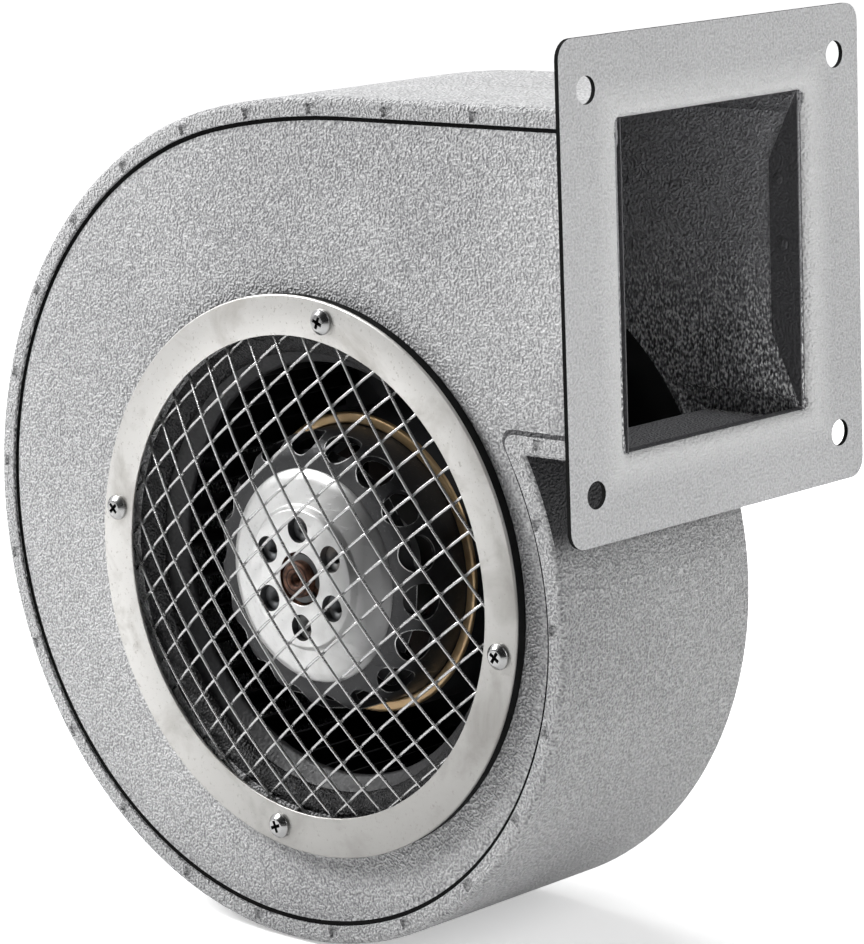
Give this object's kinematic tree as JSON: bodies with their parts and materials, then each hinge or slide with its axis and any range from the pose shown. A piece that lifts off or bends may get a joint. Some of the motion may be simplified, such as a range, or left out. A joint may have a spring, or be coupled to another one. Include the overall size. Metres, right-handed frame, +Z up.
{
  "type": "centrifugal blower",
  "caption": "Single-inlet centrifugal blower: a scroll casing with a square outlet flange, a domed wire guard over its round inlet and a forward-curved wheel on an external-rotor DC motor.",
  "frame": {"origin": "centre of the outlet flange's front face, on the flange's own plane", "axes": "+X out of the outlet, +Y from the inlet side to the motor side along the fan's axis, +Z up"},
  "size_m": [0.2823, 0.144, 0.3038],
  "materials": {
    "casing_paint": "satin",
    "flange_paint": "satin",
    "stainless": "satin",
    "wire_steel": "satin",
    "nozzle_paint": "satin",
    "gasket_rubber": "matt",
    "zinc_steel": "satin",
    "screw_chrome": "gloss",
    "hub_aluminium": "satin",
    "bell_metal": "matt",
    "sleeve_passivated": "satin",
    "shaft_steel": "matt",
    "bearing_steel": "gloss",
    "core_steel": "matt",
    "magnet_ferrite": "matt",
    "winding_copper": "satin",
    "insulator_nylon": "matt",
    "lead_plastic": "matt",
    "board_green": "satin",
    "component_black": "satin",
    "motor_aluminium": "satin",
    "cover_paint": "satin",
    "brass_screw": "satin"
  },
  "bodies": {
    "housing": {"scroll_wrap": "casing_paint", "front_side_plate": "casing_paint", "rear_side_plate": "casing_paint", "outlet_flange": "flange_paint", "inlet_ring": "stainless", "inlet_gasket": "gasket_rubber", "guard_mesh": "wire_steel", "inlet_nozzle": "nozzle_paint", "ring_screws": "screw_chrome", "ring_nuts": "zinc_steel", "motor_mount": "motor_aluminium", "motor_screws": "zinc_steel", "motor_nuts": "zinc_steel", "stator_core": "core_steel", "stator_insulators": "insulator_nylon", "stator_windings": "winding_copper", "phase_leads": "lead_plastic", "front_bearing_outer": "bearing_steel", "rear_bearing_outer": "bearing_steel", "bearing_balls": "bearing_steel", "wave_washer": "zinc_steel", "circuit_board": "board_green", "board_parts": "component_black", "board_screws": "zinc_steel", "electronics_cover": "cover_paint", "cover_screws": "zinc_steel", "cable_grommet": "gasket_rubber", "earth_screw": "brass_screw"},
    "rotor": {"rotor_shaft": "shaft_steel", "rotor_hub": "hub_aluminium", "hub_screws": "zinc_steel", "rotor_bell": "bell_metal", "rotor_sleeve": "sleeve_passivated", "rotor_magnets": "magnet_ferrite", "front_bearing_inner": "bearing_steel", "rear_bearing_inner": "bearing_steel", "front_circlip": "zinc_steel", "rear_circlip": "zinc_steel", "impeller_back_disc": "zinc_steel", "impeller_blades": "zinc_steel", "impeller_front_ring": "zinc_steel", "disc_screws": "zinc_steel", "balance_clips": "zinc_steel"}
  },
  "joints": [
    {"name": "impeller_spin", "type": "hinge", "parent": "housing", "child": "rotor", "pos_m": [-0.134, -0.0465, -0.1035], "axis": [0, 1, 0], "continuous": true}
  ]
}
